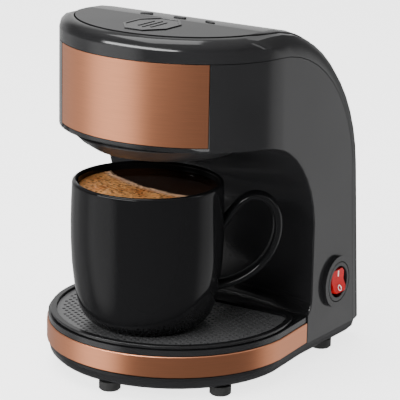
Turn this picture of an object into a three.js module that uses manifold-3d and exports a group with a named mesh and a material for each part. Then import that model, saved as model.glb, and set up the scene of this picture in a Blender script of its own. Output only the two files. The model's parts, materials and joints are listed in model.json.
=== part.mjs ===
// One-cup drip coffee maker with its mug. Millimetres, +Z up, front towards -Y, switch on the +X side.
// The model is laid out about the centre of the round base and then moved back, so that the origin is
// under the middle of the whole machine, on the surface it stands on.
import * as THREE from "three";
import { mergeVertices } from "three/addons/utils/BufferGeometryUtils.js";
import Module from "manifold-3d";

const wasm = await Module();
wasm.setup();

// ---- Driving sizes -------------------------------------------------------------------------------

// Casing
const HALF_WIDTH = 67.6; // column and head, middle to side
const HEIGHT = 193.1; // floor to the flat of the top
const WALL = 2.5; // casing walls
const SEAM = 0.35; // visible gap between two casing parts
const CLEAR = 0.3; // gap between parts that touch or hold each other
const SHOULDER = 12; // rounding of the rear shell's side edges
const FRONT_SHOULDER = 6; // rounding between the head's front and its top
const LEAST_ROUND = 0.5;
const HEAD_DEPTH = 57.4; // half ellipse of the head, middle to front
const HEAD_MIDDLE_Y = 0.9;
const HEAD_BOTTOM = 133.8;
const BACK_RADIUS = 95; // curve from the top down to the back
const BACK_MIDDLE_Y = -4.4;
const BACK_FOOT_Y = 98.5; // rear of the machine at the bottom of the shell
const SHELL_BAND = 12.5; // width of the rear shell seen from the side
const BAND_FOOT = 13.6; // the same at the bottom

// Base
const BASE_PROUD = 2.6; // the round base stands out past the column by this
const BASE_RADIUS = HALF_WIDTH + BASE_PROUD;
const COVER_BOTTOM = 5.5;
const COVER_TOP = 13.4; // top of the bottom cover, and foot of the housing
const COVER_ROUND = 6;
const COVER_INSET = 1.1;
const BACK_CORNER = 14;
const DECK = 28.8; // top of the base
const TRIM_TOP = DECK - 3.3;
const TRIM_THICK = 1.2;
const TRIM_END_Y = 33; // where the trim band meets the flat side
const RIM_INSET = 0.7;

// Drip tray and grid
const TRAY_LIP_RADIUS = 68.2;
const TRAY_LIP_WIDTH = 3.4;
const TRAY_LIP_TOP = DECK + 2.1;
const TRAY_BACK_Y = 27;
const TRAY_CORNER = 9;
const TRAY_DEPTH = 9;
const TRAY_WALL = 1.6;
const GRID_TOP = DECK + 0.7;
const GRID_THICK = 1.2;
const GRID_HOLE = 1.5;
const GRID_PITCH = 17;

// Mug bay
const BAY_EDGE_Y = 36; // wall of the bay at the sides of the column
const BAY_HOLLOW = 9; // how much deeper the wall is in the middle
const BAY_CORNER = 52; // size of the round corner under the head
const BAY_FOOT_ROUND = 8;

// Copper front panel
const PANEL_BOTTOM = 136.5;
const PANEL_HALF_WIDTH = 47;
const PANEL_THICK = 1.2;

// Lid
const LID_HALF_WIDTH = 58.4;
const LID_DEPTH = 50.3;
const LID_THICK = 2.5;
const LID_PROUD = 0.5;
const LID_GAP = 0.7;
const LID_SKIRT = 4;
const HINGE_ANGLE = 40; // degrees round the back curve from the top
const HINGE_DEPTH = 3; // pin under the outer surface
const TROUGH_RADIUS = 6.2;
const TROUGH_WALL = 1.8;
const PIN_RADIUS = 1.4;
const PIN_LENGTH = 8;
const PIN_BITE = 2; // how far a pin reaches into the shell

// Brewing parts
const BREW_Y = -10;
const BREW_BOTTOM = 125;
const BREW_BOTTOM_RADIUS = 38;
const BREW_FLANGE_RADIUS = 50;
const CHAMBER_RADIUS = 40.5;
const CHAMBER_TOP = 165;
const CHAMBER_WALL = 2;
const OUTLET_RADIUS = 9;
const BASKET_WALL = 1.8;
const BASKET_FLOOR = 134;
const NOZZLE_RADIUS = 5;
const MESH_THICK = 0.9;

// Water side
const TANK_LEFT = -34;
const TANK_BOTTOM = 56;
const TANK_WALL = 2;
const CHAMBER_GAP = 0.5; // between the chamber and the tank
const TANK_MOUTH_Y = BREW_Y + CHAMBER_RADIUS + CHAMBER_GAP;
const TANK_MOUTH_DEPTH = 14;
const TANK_TOP = 164;
const HOSE_RADIUS = 4;
const HEATER_Z = 24;
const HEATER_FRONT_Y = 58;
const HEATER_BACK_Y = 80;
const HEATER_HALF_LENGTH = 38;
const HEATER_RADIUS = 5.5;
const THERMOSTAT_X = 22;
const FUSE_START = -17;
const FUSE_END = -4;

// Switch
const SWITCH_Y = 62.5;
const SWITCH_Z = 42.3;
const BOSS_RADIUS = 14.8;
const BOSS_PROUD = 2.4;
const BEZEL_RADIUS = 11.4;
const BEZEL_THICK = 2.2;
const SWITCH_BARREL = 9.6;
const SWITCH_DEPTH = 20;
const ROCKER_RADIUS = 7.8; // its rounded corners
const ROCKER_HALF = 6.5; // middle to each flat side
const ROCKER_CLEAR = 1.1;
const ROCKER_TILT = 9; // degrees either side of the middle
const ROCKER_SUNK = 3.8; // pivot behind the face of the switch
const POCKET_DEPTH = 11;

// Feet, screws and gland
const FOOT_RADIUS = 6;
const STEM_RADIUS = 2.4;
const SCREW_RADIUS = 1.5;
const SCREW_HEAD = 3;
const POST_RADIUS = 4.6;
const GLAND_X = -40;
const GLAND_Z = 24;
const GLAND_RADIUS = 5.4;
const WIRE_RADIUS = 0.9;

// Mug
const MUG_Y = -26.2;
const MUG_RADIUS = 41;
const MUG_HEIGHT = 79.8;
const MUG_WALL = 3.6;
const MUG_FOOT_RADIUS = 27.5;
const HANDLE_REACH = 30;
const HANDLE_TURN = 33; // degrees from the switch side towards the back
const HANDLE_THICK = 5.2;
const HANDLE_WIDE = 9.5;

// Worked out from the sizes above
const BACK_MIDDLE_Z = HEIGHT - BACK_RADIUS;
const PARTING_Z = HEIGHT - SHELL_BAND;
const MUG_BOTTOM = GRID_TOP + CLEAR;
const FACE_X = HALF_WIDTH + BOSS_PROUD;
const HINGE_RAD = THREE.MathUtils.degToRad(HINGE_ANGLE);
const PIN_Y = BACK_MIDDLE_Y + (BACK_RADIUS - HINGE_DEPTH) * Math.sin(HINGE_RAD);
const PIN_Z = BACK_MIDDLE_Z + (BACK_RADIUS - HINGE_DEPTH) * Math.cos(HINGE_RAD);
const FAR = 2.2 * HEIGHT; // longer than anything in the model

// Fineness of the curves
const FRONT_STEPS = 28;
const BACK_STEPS = 12;
const EDGE_STEPS = 3;
const BAY_STEPS = 9;

// ---- Materials -----------------------------------------------------------------------------------

const finish = (color, roughness, metalness) =>
  new THREE.MeshStandardMaterial({ color, roughness, metalness });
const glossBlack = finish(0x141416, 0.18, 0);
const mattBlack = finish(0x1c1c1e, 0.6, 0);
const copper = finish(0xb5785a, 0.35, 0.9);
const rubber = finish(0x101010, 0.9, 0);
const steel = finish(0xb8babd, 0.35, 1);
const aluminium = finish(0xc4c6c8, 0.4, 1);
const silicone = finish(0xd8d4cc, 0.6, 0);
const clearPlastic = finish(0xe6e8ea, 0.3, 0);
const redPlastic = finish(0xd0161a, 0.25, 0);
const glazedBlack = finish(0x0b0b0c, 0.08, 0);
const gridGrey = finish(0x55565a, 0.35, 0.4);

// ---- Shape helpers -------------------------------------------------------------------------------

// A closed three.js geometry as a manifold-3d solid.
function solid(geometry) {
  const bare = geometry.index ? geometry.toNonIndexed() : geometry.clone();
  bare.deleteAttribute("normal");
  bare.deleteAttribute("uv");
  const merged = mergeVertices(bare, 1e-4);
  const faces = [];
  for (let i = 0; i < merged.index.count; i += 3) {
    const [a, b, c] = [0, 1, 2].map((k) => merged.index.getX(i + k));
    if (a !== b && b !== c && c !== a) faces.push(a, b, c);
  }
  return new wasm.Manifold(
    new wasm.Mesh({
      numProp: 3,
      vertProperties: merged.attributes.position.array,
      triVerts: new Uint32Array(faces),
    }),
  );
}

const joined = (...solids) => solids.reduce((sum, next) => sum.add(next));
const cut = (from, ...tools) => tools.reduce((left, tool) => left.subtract(tool), from);

function placed(geometry, xAxis, yAxis, zAxis) {
  return geometry.applyMatrix4(new THREE.Matrix4().makeBasis(xAxis, yAxis, zAxis));
}
const X = new THREE.Vector3(1, 0, 0);
const Y = new THREE.Vector3(0, 1, 0);
const Z = new THREE.Vector3(0, 0, 1);

// A plan outline (x, y) raised from low to high; round gives it a rounded top edge.
function upright(shape, low, high, round = 0) {
  const geometry = new THREE.ExtrudeGeometry(shape, {
    depth: high - low - round,
    bevelEnabled: round > 0,
    bevelThickness: round,
    bevelSize: round,
    bevelOffset: -round,
    bevelSegments: EDGE_STEPS,
  });
  const made = solid(geometry.translate(0, 0, low));
  return round > 0 ? made.subtract(block(0, 0, low - FAR / 2, FAR, FAR, FAR)) : made;
}

// A side outline (y, z) run from low to high along X; round gives both its edges a rounding.
function sideways(shape, low, high, round = 0, steps = 1) {
  const geometry = new THREE.ExtrudeGeometry(shape, {
    depth: high - low - 2 * round,
    steps,
    bevelEnabled: round > 0,
    bevelThickness: round,
    bevelSize: round,
    bevelOffset: -round,
    bevelSegments: EDGE_STEPS,
  });
  return placed(geometry, Y, Z, X).translate(low + round, 0, 0);
}

function block(x, y, z, sizeX, sizeY, sizeZ) {
  return solid(new THREE.BoxGeometry(sizeX, sizeY, sizeZ).translate(x, y, z));
}

// A round bar between two heights, lengths or depths along one axis.
function bar(axis, radius, low, high, a, b, sides = 20) {
  const geometry = new THREE.CylinderGeometry(radius, radius, high - low, sides);
  geometry.translate(0, (low + high) / 2, 0);
  if (axis === "z") return solid(geometry.rotateX(Math.PI / 2).translate(a, b, 0));
  if (axis === "x") return solid(geometry.rotateZ(-Math.PI / 2).translate(0, a, b));
  return solid(geometry.translate(a, 0, b));
}

// A turned part about a vertical axis: the profile is a closed list of [radius, height].
function turned(profile, x, y, sides = 36) {
  const points = [...profile, profile[0]].map(([r, z]) => new THREE.Vector2(r, z));
  const area = points.reduce((sum, p, i) => {
    const q = points[(i + 1) % points.length];
    return sum + p.x * q.y - q.x * p.y;
  }, 0);
  if (area < 0) points.reverse();
  const geometry = new THREE.LatheGeometry(points, sides);
  geometry.rotateX(Math.PI / 2).translate(x, y, 0);
  const made = solid(geometry);
  return made.volume() < 0 ? solid(flipped(geometry)) : made;
}

// The same geometry with its faces turned round.
function flipped(geometry) {
  const copy = geometry.toNonIndexed();
  const position = copy.attributes.position;
  for (let i = 0; i < position.count; i += 3) {
    const a = new THREE.Vector3().fromBufferAttribute(position, i);
    const b = new THREE.Vector3().fromBufferAttribute(position, i + 1);
    position.setXYZ(i, b.x, b.y, b.z);
    position.setXYZ(i + 1, a.x, a.y, a.z);
  }
  return copy;
}

// A round tube or wire along a smooth route.
function routed(points, radius, steps, sides = 8) {
  const route = new THREE.CatmullRomCurve3(points.map((p) => new THREE.Vector3(...p)));
  const geometry = new THREE.ExtrudeGeometry(oval(radius, sides), { steps, extrudePath: route });
  const made = solid(geometry);
  return made.volume() < 0 ? solid(flipped(geometry)) : made;
}

// An outline through its points, leaving out any that repeat the one before.
function outline(...points) {
  const kept = points.filter(([a, b], i) => {
    const [c, d] = points[(i + points.length - 1) % points.length];
    return Math.hypot(a - c, b - d) > 1e-3;
  });
  return new THREE.Shape(kept.map(([a, b]) => new THREE.Vector2(a, b)));
}

// Points along part of a circle, or of an ellipse where a second radius is given.
function arc(a, b, radius, from, to, steps, radiusB = radius) {
  return Array.from({ length: steps + 1 }, (_, i) => {
    const angle = from + ((to - from) * i) / steps;
    return [a + radius * Math.cos(angle), b + radiusB * Math.sin(angle)];
  });
}

// A full ring of points, for the sections of tubes and bars.
function oval(radius, sides, radiusB = radius) {
  return outline(...arc(0, 0, radius, 0, 2 * Math.PI, sides, radiusB).slice(1));
}

// ---- Outlines ------------------------------------------------------------------------------------

// Plan of the base: round in front, straight sides, two rear corners.
function basePlan(inset) {
  const r = BASE_RADIUS - inset;
  const w = HALF_WIDTH - inset;
  const back = BACK_FOOT_Y - inset;
  const corner = BACK_CORNER - inset;
  return outline(
    [w, TRIM_END_Y],
    ...arc(w - corner, back - corner, corner, 0, Math.PI / 2, 5),
    ...arc(corner - w, back - corner, corner, Math.PI / 2, Math.PI, 5),
    [-w, TRIM_END_Y],
    ...arc(0, 0, r, Math.PI, 2 * Math.PI, FRONT_STEPS),
  );
}

// A plan with half an ellipse in front and straight sides running back to a given line.
function roundFront(halfWidth, depth, backY) {
  return outline(
    [halfWidth, backY],
    [-halfWidth, backY],
    ...arc(0, HEAD_MIDDLE_Y, halfWidth, Math.PI, 2 * Math.PI, FRONT_STEPS, depth),
  );
}

const headPlan = (inset) => roundFront(HALF_WIDTH - inset, HEAD_DEPTH - inset, FAR / 2);
const lidPlan = (grow) => roundFront(LID_HALF_WIDTH + grow, LID_DEPTH + grow, PIN_Y);

// Side view of a casing: flat top, the big curve, then a straight slope to the foot behind.
function casingSide(radius, footY, bottom) {
  const footZ = COVER_TOP;
  const reach = Math.hypot(footY - BACK_MIDDLE_Y, footZ - BACK_MIDDLE_Z);
  const drop = Math.atan2(BACK_MIDDLE_Z - footZ, footY - BACK_MIDDLE_Y);
  const leave = Math.acos(radius / reach) - drop;
  const slope = (footY - (BACK_MIDDLE_Y + radius * Math.cos(leave))) /
    (BACK_MIDDLE_Z + radius * Math.sin(leave) - footZ);
  return outline(
    [-FAR / 2, bottom],
    [footY + slope * (footZ - bottom), bottom],
    ...arc(BACK_MIDDLE_Y, BACK_MIDDLE_Z, radius, leave, Math.PI / 2, BACK_STEPS),
    [-FAR / 2, BACK_MIDDLE_Z + radius],
  );
}

// The outside of the whole head and column with its rounded edges, made smaller by inset.
function casing(inset) {
  const round = Math.max(SHOULDER - inset, LEAST_ROUND);
  const frontRound = Math.max(FRONT_SHOULDER - inset, LEAST_ROUND);
  const w = HALF_WIDTH - inset;
  const side = casingSide(BACK_RADIUS - inset, BACK_FOOT_Y - inset, -FAR / 4);
  const plan = upright(headPlan(inset), -FAR / 4, HEIGHT - inset, frontRound);
  return solid(sideways(side, -w, w, round)).intersect(plan);
}

// Everything inside the parting line, right across the machine.
function insideParting(grow) {
  const side = casingSide(
    BACK_RADIUS - SHELL_BAND + grow,
    BACK_FOOT_Y - BAND_FOOT + grow,
    -FAR / 4,
  );
  return solid(sideways(side, -FAR / 2, FAR / 2));
}

// The mug bay's open space, grown by a wall where asked. Its rear wall is hollowed in the middle.
function bay(grow) {
  const top = HEAD_BOTTOM + grow;
  const back = BAY_EDGE_Y + grow;
  const floor = DECK - grow;
  const round = BAY_FOOT_ROUND;
  const corner = new THREE.CubicBezierCurve(
    new THREE.Vector2(back, top - BAY_CORNER),
    new THREE.Vector2(back - 2, top - BAY_CORNER * 0.42),
    new THREE.Vector2(back - BAY_CORNER * 0.53, top),
    new THREE.Vector2(back - BAY_CORNER, top),
  );
  const shape = outline(
    [-FAR / 2, floor],
    ...arc(back - round, floor + round, round, -Math.PI / 2, 0, EDGE_STEPS),
    ...corner.getPoints(BAY_STEPS).map((p) => [p.x, p.y]),
    [-FAR / 2, top],
  );
  const half = HALF_WIDTH + 4;
  const geometry = sideways(shape, -half, half, 0, BAY_STEPS);
  const position = geometry.attributes.position;
  for (let i = 0; i < position.count; i += 1) {
    const across = Math.min(1, Math.abs(position.getX(i)) / HALF_WIDTH);
    const down = THREE.MathUtils.clamp((HEAD_BOTTOM - position.getZ(i)) / BAY_CORNER, 0, 1);
    const ease = down * down * (3 - 2 * down);
    const behind = position.getY(i) > -FAR / 4 ? 1 : 0;
    const shift = BAY_HOLLOW * (1 - across * across) * ease * behind;
    position.setY(i, position.getY(i) + shift);
  }
  return solid(geometry);
}

// Plan of the drip tray: the base's circle cut straight behind, with two round corners.
function trayPlan(radius, backY) {
  const c = TRAY_CORNER;
  const side = Math.sqrt((radius - c) ** 2 - (backY - c) ** 2);
  const turn = Math.atan2(backY - c, side);
  return outline(
    ...arc(side, backY - c, c, turn, Math.PI / 2, 4),
    ...arc(-side, backY - c, c, Math.PI / 2, Math.PI - turn, 4),
    ...arc(0, 0, radius, Math.PI - turn, 2 * Math.PI + turn, FRONT_STEPS + 4),
  );
}

// ---- Casing parts --------------------------------------------------------------------------------

const frontPosts = [-1, 1].map((side) => [side * 40, -34]);
const rearPosts = [-1, 1].map((side) => [side * 53, 88]);
const posts = [...frontPosts, ...rearPosts];
const feet = {
  foot_front: [0, -60],
  foot_front_left: [-52, -31],
  foot_front_right: [52, -31],
  foot_rear_left: [-57, 67],
  foot_rear_right: [57, 67],
};

// The lower cover: a shallow dish that closes the machine from below.
function bottomCover() {
  const height = COVER_TOP - COVER_BOTTOM;
  const dish = (inset, bottom) => {
    const shape = new THREE.ExtrudeGeometry(basePlan(COVER_INSET + inset), {
      depth: height + FAR / 8,
      bevelThickness: COVER_ROUND,
      bevelSize: COVER_ROUND,
      bevelOffset: -COVER_ROUND,
      bevelSegments: EDGE_STEPS,
    });
    return solid(shape.translate(0, 0, bottom + COVER_ROUND));
  };
  const above = block(0, 0, COVER_TOP - CLEAR + FAR / 2, FAR, FAR, FAR);
  const slots = [-24, -12, 0, 12, 24].map((x) => block(x, 30, COVER_BOTTOM, 4, 36, 3 * WALL));
  const pads = posts.map(([x, y]) => bar("z", POST_RADIUS, COVER_BOTTOM + 1, COVER_TOP - 1, x, y));
  const heads = posts.map(([x, y]) => bar("z", SCREW_HEAD + CLEAR, 0, COVER_BOTTOM + 3, x, y));
  const shanks = posts.map(([x, y]) => bar("z", SCREW_RADIUS + CLEAR, 0, FAR / 4, x, y, 12));
  const stems = Object.values(feet).map(([x, y]) => bar("z", STEM_RADIUS + CLEAR, 0, FAR / 8, x, y, 12));
  const shell = cut(dish(0, COVER_BOTTOM), dish(WALL, COVER_BOTTOM + WALL), above);
  return cut(joined(shell, ...pads), ...heads, ...shanks, ...stems, ...slots);
}

// The front housing: head, column sides, bay wall and base in one moulding.
function mainHousing() {
  const parting = insideParting(-SEAM / 2);
  const low = COVER_TOP;
  const head = upright(headPlan(0), HEAD_BOTTOM - BAY_CORNER, FAR / 2);
  const column = block(0, TRIM_END_Y + CLEAR + FAR / 2, FAR / 4 + low, 2 * HALF_WIDTH, FAR, FAR / 2);
  const ring = upright(basePlan(TRIM_THICK + CLEAR), low, DECK);
  const rim = upright(basePlan(RIM_INSET), TRIM_TOP + CLEAR, DECK);
  const outside = joined(head, column, ring, rim).intersect(parting);
  const inner = HALF_WIDTH - WALL;
  const hollowHead = upright(headPlan(WALL), HEAD_BOTTOM - BAY_CORNER, FAR / 2);
  const hollowColumn = block(0, HEAD_MIDDLE_Y + FAR / 2, 0, 2 * inner, FAR, FAR * 2);
  const hollowBase = upright(basePlan(TRIM_THICK + CLEAR + WALL), -FAR / 8, DECK + WALL);
  const well = (grow) =>
    upright(
      trayPlan(TRAY_LIP_RADIUS - TRAY_LIP_WIDTH + TRAY_WALL + grow, TRAY_BACK_Y - 1 + grow),
      DECK - TRAY_DEPTH - CLEAR - grow,
      DECK + FAR / 8,
    );
  const hollow = cut(joined(hollowHead, hollowColumn, hollowBase), bay(WALL), well(TRAY_WALL));
  const bosses = frontPosts.map(([x, y]) =>
    bar("z", POST_RADIUS, COVER_TOP - 1 + CLEAR, DECK - TRAY_DEPTH - CLEAR, x, y),
  );
  const pilots = frontPosts.map(([x, y]) =>
    bar("z", SCREW_RADIUS + CLEAR, 0, COVER_TOP + 4, x, y, 12),
  );
  const switchBoss = bar("x", BOSS_RADIUS, HALF_WIDTH - WALL, FACE_X, SWITCH_Y, SWITCH_Z, 32);
  const switchSeat = bar("x", BEZEL_RADIUS + CLEAR, FACE_X - BEZEL_THICK, FAR, SWITCH_Y, SWITCH_Z, 28);
  const switchHole = bar("x", SWITCH_BARREL + CLEAR, 0, FAR, SWITCH_Y, SWITCH_Z, 28);
  const panelBand = cut(
    upright(headPlan(-1), PANEL_BOTTOM - CLEAR, FAR / 2),
    upright(headPlan(PANEL_THICK + CLEAR), 0, FAR),
  ).intersect(block(0, -FAR / 2, 0, 2 * (PANEL_HALF_WIDTH + CLEAR), FAR, FAR * 2));
  const brewHole = bar("z", CHAMBER_RADIUS + CLEAR, HEAD_BOTTOM - 5, HEAD_BOTTOM + 9, 0, BREW_Y, 40);
  const bowlHole = turned(
    [
      [0, BREW_BOTTOM - 1],
      [BREW_BOTTOM_RADIUS + 4, BREW_BOTTOM - 1],
      [BREW_FLANGE_RADIUS + 1, HEAD_BOTTOM - 4],
      [BREW_FLANGE_RADIUS + 1, HEAD_BOTTOM],
      [0, HEAD_BOTTOM],
    ],
    0,
    BREW_Y,
    40,
  );
  const body = joined(cut(outside, hollow, bay(0), well(0)), switchBoss, ...bosses);
  return cut(body, switchSeat, switchHole, panelBand, brewHole, bowlHole, ...pilots);
}

// The rear shell: top rim, back and the rounded edges, open where the lid is.
function outerShell() {
  const above = block(0, 0, COVER_TOP - FAR / 2, FAR, FAR, FAR);
  const skin = cut(casing(0), casing(WALL), insideParting(SEAM / 2), above);
  const opening = upright(lidPlan(LID_GAP), HEIGHT - 60, FAR / 2);
  const half = LID_HALF_WIDTH + LID_GAP;
  const trough = bar("x", TROUGH_RADIUS, -half, half, PIN_Y, PIN_Z, 20);
  const troughSkin = bar("x", TROUGH_RADIUS + TROUGH_WALL, -half - 3, half + 3, PIN_Y, PIN_Z, 20);
  const underLid = block(0, PIN_Y - FAR / 2, PIN_Z - 1 + FAR / 2, 2 * half, FAR, FAR);
  const channel = cut(troughSkin.intersect(casing(0.4)), underLid);
  const pinHole = bar("x", PIN_RADIUS + CLEAR, -half - PIN_BITE, half + PIN_BITE, PIN_Y, PIN_Z, 12);
  const postRibs = rearPosts.map(([x, y]) =>
    joined(
      bar("z", POST_RADIUS, COVER_TOP + CLEAR, 42, x, y),
      block(x, y + 6, (COVER_TOP + CLEAR + 42) / 2, 3, 12, 42 - COVER_TOP - CLEAR),
    ).intersect(casing(0.4)),
  );
  const pilots = rearPosts.map(([x, y]) => bar("z", SCREW_RADIUS + CLEAR, 0, COVER_TOP + 9, x, y, 12));
  const glandHole = bar("y", GLAND_RADIUS + CLEAR, BACK_FOOT_Y - 14, FAR, GLAND_X, GLAND_Z);
  const vents = [-20, -12, -4, 4, 12, 20].map((x) => block(x + 22, BACK_FOOT_Y, 26, 3.4, 30, 16));
  const closed = joined(cut(skin, opening, trough), channel, ...postRibs);
  return cut(closed, trough, pinHole, glandHole, ...pilots, ...vents);
}

function frontPanel() {
  const band = cut(
    upright(headPlan(0), PANEL_BOTTOM, PARTING_Z - SEAM / 2),
    upright(headPlan(PANEL_THICK), 0, FAR),
  );
  return band.intersect(block(0, -FAR / 2, 0, 2 * PANEL_HALF_WIDTH, FAR, FAR * 2));
}

function baseTrim() {
  const band = cut(
    upright(basePlan(0), COVER_TOP + CLEAR, TRIM_TOP),
    upright(basePlan(TRIM_THICK), 0, FAR),
  );
  return band.intersect(block(0, TRIM_END_Y - FAR / 2, 0, FAR, FAR, FAR * 2));
}

// ---- Lid -----------------------------------------------------------------------------------------

function lid() {
  const plate = cut(casing(-LID_PROUD), casing(LID_THICK - LID_PROUD));
  const skirt = cut(casing(LID_THICK - LID_PROUD - 0.2), casing(LID_THICK + LID_SKIRT));
  const area = upright(lidPlan(0), HEIGHT - 60, FAR / 2);
  const ring = cut(upright(lidPlan(-3), 0, FAR), upright(lidPlan(-4.8), 0, FAR));
  const front = block(0, PIN_Y - TROUGH_RADIUS - 5 - FAR / 2, 0, FAR, FAR, FAR * 2);
  const knuckle = bar("x", HINGE_DEPTH, -LID_HALF_WIDTH, LID_HALF_WIDTH, PIN_Y, PIN_Z, 14);
  const holes = [-1, 1].map((side) => {
    const inner = LID_HALF_WIDTH - PIN_LENGTH / 2 - CLEAR;
    const [low, high] = side < 0 ? [-FAR / 2, -inner] : [inner, FAR / 2];
    return bar("x", PIN_RADIUS + CLEAR, low, high, PIN_Y, PIN_Z, 12);
  });
  const body = joined(plate.intersect(area), skirt.intersect(ring).intersect(front), knuckle);
  return cut(body, ...holes);
}

function hingePin(side) {
  const inner = LID_HALF_WIDTH - PIN_LENGTH / 2;
  const outer = LID_HALF_WIDTH + LID_GAP + PIN_BITE - CLEAR;
  const [low, high] = side < 0 ? [-outer, -inner] : [inner, outer];
  return bar("x", PIN_RADIUS, low, high, PIN_Y, PIN_Z, 12);
}

// ---- Drip tray -----------------------------------------------------------------------------------

function dripTray() {
  const inner = TRAY_LIP_RADIUS - TRAY_LIP_WIDTH;
  const lip = upright(trayPlan(TRAY_LIP_RADIUS, TRAY_BACK_Y + 1), DECK + CLEAR, TRAY_LIP_TOP);
  const bowl = upright(
    trayPlan(inner + TRAY_WALL - CLEAR, TRAY_BACK_Y - 1 - CLEAR),
    DECK - TRAY_DEPTH,
    TRAY_LIP_TOP,
  );
  const ledge = inner - 2;
  const seat = upright(trayPlan(inner, TRAY_BACK_Y - 2.6), GRID_TOP - GRID_THICK - CLEAR, FAR / 4);
  const well = upright(trayPlan(ledge, TRAY_BACK_Y - 4.6), DECK - TRAY_DEPTH + TRAY_WALL, FAR / 4);
  return cut(joined(lip, bowl), seat, well);
}

// The grid that the mug stands on, with a coarse pattern of round holes.
function dripGrid() {
  const inner = TRAY_LIP_RADIUS - TRAY_LIP_WIDTH - CLEAR;
  const plate = upright(trayPlan(inner, TRAY_BACK_Y - 2.6 - CLEAR), GRID_TOP - GRID_THICK, GRID_TOP);
  const holes = [];
  const reach = Math.floor(inner / GRID_PITCH);
  for (let i = -reach; i <= reach; i += 1) {
    for (let j = -reach; j <= reach; j += 1) {
      const [x, y] = [i * GRID_PITCH, j * GRID_PITCH];
      if (Math.hypot(x, y) > inner - 6 || y > TRAY_BACK_Y - 10) continue;
      holes.push(bar("z", GRID_HOLE, GRID_TOP - 5, GRID_TOP + 5, x, y, 6));
    }
  }
  return cut(plate, ...holes);
}

// ---- Brewing parts -------------------------------------------------------------------------------

// The chamber under the lid and the bowl that shows under the head, in one piece.
function brewChamber() {
  const w = CHAMBER_WALL;
  const whole = turned(
    [
      [OUTLET_RADIUS, BREW_BOTTOM],
      [BREW_BOTTOM_RADIUS - 2, BREW_BOTTOM],
      [BREW_BOTTOM_RADIUS + 2, BREW_BOTTOM + 1],
      [BREW_FLANGE_RADIUS - 4, HEAD_BOTTOM - 4],
      [BREW_FLANGE_RADIUS, HEAD_BOTTOM - CLEAR],
      [CHAMBER_RADIUS, HEAD_BOTTOM - CLEAR],
      [CHAMBER_RADIUS, CHAMBER_TOP],
      [CHAMBER_RADIUS - w, CHAMBER_TOP],
      [CHAMBER_RADIUS - w, HEAD_BOTTOM - CLEAR - w],
      [BREW_BOTTOM_RADIUS - 3, BREW_BOTTOM + w],
      [OUTLET_RADIUS, BREW_BOTTOM + w],
    ],
    0,
    BREW_Y,
    40,
  );
  return whole.subtract(block(0, TANK_MOUTH_Y - CLEAR + FAR / 2, 0, FAR, FAR, FAR));
}

const basketRim = CHAMBER_TOP + CLEAR;
const basketTopRadius = CHAMBER_RADIUS - CHAMBER_WALL - 1;

function filterBasket() {
  const w = BASKET_WALL;
  const top = basketTopRadius;
  return turned(
    [
      [NOZZLE_RADIUS - w, BREW_BOTTOM + 0.5],
      [NOZZLE_RADIUS, BREW_BOTTOM + 0.5],
      [NOZZLE_RADIUS, BASKET_FLOOR - w - 1],
      [top - 9, BASKET_FLOOR + 1],
      [top, CHAMBER_TOP - 6],
      [top, basketRim],
      [CHAMBER_RADIUS + 1.5, basketRim],
      [CHAMBER_RADIUS + 1.5, basketRim + w],
      [top - w, basketRim + w],
      [top - w, CHAMBER_TOP - 6],
      [top - 9 - w, BASKET_FLOOR + 1 + w],
      [NOZZLE_RADIUS - w, BASKET_FLOOR],
    ],
    0,
    BREW_Y,
  );
}

function filterMesh() {
  const top = basketTopRadius - BASKET_WALL - 1.5;
  const low = BASKET_FLOOR + 6;
  const rim = basketRim + BASKET_WALL - 1;
  return turned(
    [
      [0, low],
      [top - 10, low],
      [top, rim],
      [top - MESH_THICK, rim],
      [top - 10 - MESH_THICK, low + MESH_THICK],
      [0, low + MESH_THICK],
    ],
    0,
    BREW_Y,
    40,
  );
}

// The ring that carries the mesh, with a tab to lift it by.
function filterRim() {
  const low = basketRim + BASKET_WALL + CLEAR;
  const outer = CHAMBER_RADIUS;
  const inner = basketTopRadius - BASKET_WALL - 4;
  const ring = turned(
    [[inner, low], [outer, low], [outer, low + 2], [inner, low + 2]],
    0,
    BREW_Y,
  );
  return joined(ring, block(0, BREW_Y - inner - 1, low + 4, 12, 2, 8));
}

// ---- Water side ----------------------------------------------------------------------------------

// Side view of the tank: a slanted neck leads from the mouth under the lid down to the body behind.
function tankSide(inset, top) {
  const outer = BACK_RADIUS - WALL - 1.4 - inset;
  const front = BAY_EDGE_Y + BAY_HOLLOW + WALL + 3 + inset;
  const roof = PIN_Z - TROUGH_RADIUS - TROUGH_WALL - 2 - inset;
  const bottom = TANK_BOTTOM + inset;
  const mouthFront = TANK_MOUTH_Y + inset;
  const mouthBack = TANK_MOUTH_Y + TANK_MOUTH_DEPTH - inset;
  const neck = HEAD_BOTTOM + WALL + 4;
  const enter = Math.asin((roof - BACK_MIDDLE_Z) / outer);
  return outline(
    [front, bottom],
    [BACK_MIDDLE_Y + outer, bottom],
    ...arc(BACK_MIDDLE_Y, BACK_MIDDLE_Z, outer, 0, enter, 6),
    [mouthBack, roof],
    [mouthBack, top],
    [mouthFront, top],
    [mouthFront, neck],
    [front, neck - (front - mouthFront) * 1.6],
  );
}

const tankRight = HALF_WIDTH - WALL - 5;
const outletX = TANK_LEFT + 14;
const outletY = (HEATER_FRONT_Y + HEATER_BACK_Y) / 2;

function waterTank() {
  const outside = solid(sideways(tankSide(0, TANK_TOP), TANK_LEFT, tankRight));
  const inside = solid(
    sideways(tankSide(TANK_WALL, FAR), TANK_LEFT + TANK_WALL, tankRight - TANK_WALL),
  );
  const spigot = bar("z", HOSE_RADIUS, TANK_BOTTOM - 6, TANK_BOTTOM + 1, outletX, outletY);
  const bore = bar("z", HOSE_RADIUS - 1.5, TANK_BOTTOM - 9, TANK_BOTTOM + 5, outletX, outletY);
  return cut(joined(cut(outside, inside), spigot), bore);
}

function checkValve() {
  const top = TANK_BOTTOM - 6 - CLEAR;
  return bar("z", HOSE_RADIUS + 1, top - 9, top, outletX, outletY);
}

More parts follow.
